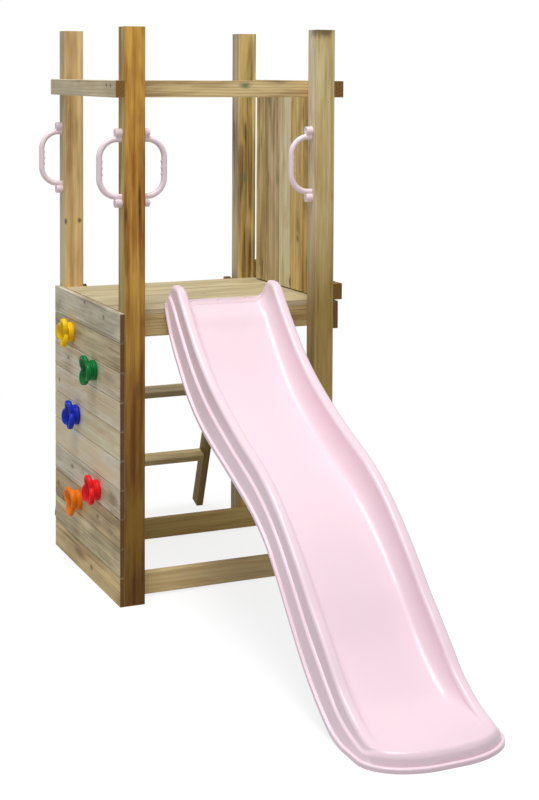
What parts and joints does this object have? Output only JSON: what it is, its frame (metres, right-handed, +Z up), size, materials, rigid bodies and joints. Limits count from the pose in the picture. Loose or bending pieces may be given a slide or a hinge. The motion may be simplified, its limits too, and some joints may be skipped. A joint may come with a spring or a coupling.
{
  "type": "climbing frame with slide",
  "caption": "Wooden climbing frame with a raised deck, climbing wall, ladder, grab handles and a moulded wave slide.",
  "frame": {"origin": "middle of the part's outline in plan, on the ground", "axes": "+Z up, -Y along the slide away from the tower, -X out of the climbing wall"},
  "size_m": [0.81, 2.3792, 1.765],
  "materials": {
    "post_wood": "planed, impregnated pine",
    "wall_wood": "planed, weathered pine",
    "deck_wood": "planed pine",
    "panel_wood": "planed, impregnated pine",
    "rail_wood": "planed, impregnated pine",
    "slide_plastic": "glossy",
    "handle_plastic": "satin",
    "hold_yellow": "satin",
    "hold_green": "satin",
    "hold_blue": "satin",
    "hold_red": "satin",
    "hold_orange": "satin",
    "steel": "zinc plated"
  },
  "bodies": {
    "root": {"post_front_left": "post_wood", "post_front_right": "post_wood", "post_back_left": "post_wood", "post_back_right": "post_wood", "wall_board_1": "wall_wood", "wall_board_2": "wall_wood", "wall_board_3": "wall_wood", "wall_board_4": "wall_wood", "wall_board_5": "wall_wood", "wall_board_6": "wall_wood", "wall_board_7": "wall_wood", "wall_board_8": "wall_wood", "wall_board_9": "wall_wood", "wall_board_10": "wall_wood", "deck_board_1": "deck_wood", "deck_board_2": "deck_wood", "deck_board_3": "deck_wood", "deck_board_4": "deck_wood", "deck_board_5": "deck_wood", "deck_board_6": "deck_wood", "panel_board_1": "panel_wood", "panel_board_2": "panel_wood", "panel_board_3": "panel_wood", "panel_board_4": "panel_wood", "panel_board_5": "panel_wood", "deck_beam_front": "rail_wood", "deck_beam_back": "rail_wood", "joist_left": "rail_wood", "joist_right": "rail_wood", "deck_edge_right": "rail_wood", "bottom_rail_front": "rail_wood", "bottom_rail_back": "rail_wood", "top_rail_left": "rail_wood", "top_rail_right": "rail_wood", "top_rail_front": "rail_wood", "panel_rail_right": "rail_wood", "ladder_side_left": "rail_wood", "ladder_side_right": "rail_wood", "rung_1": "rail_wood", "rung_2": "rail_wood", "rung_3": "rail_wood", "slide": "slide_plastic", "slide_screws": "steel", "handle_front_outer": "handle_plastic", "handle_front_inner": "handle_plastic", "handle_right_inner": "handle_plastic", "handle_back_outer": "handle_plastic", "handle_screws": "steel", "hold_yellow": "hold_yellow", "hold_green": "hold_green", "hold_blue": "hold_blue", "hold_red": "hold_red", "hold_orange": "hold_orange", "hold_bolts": "steel", "hold_nuts": "steel", "ladder_bolts": "steel"}
  },
  "joints": []
}
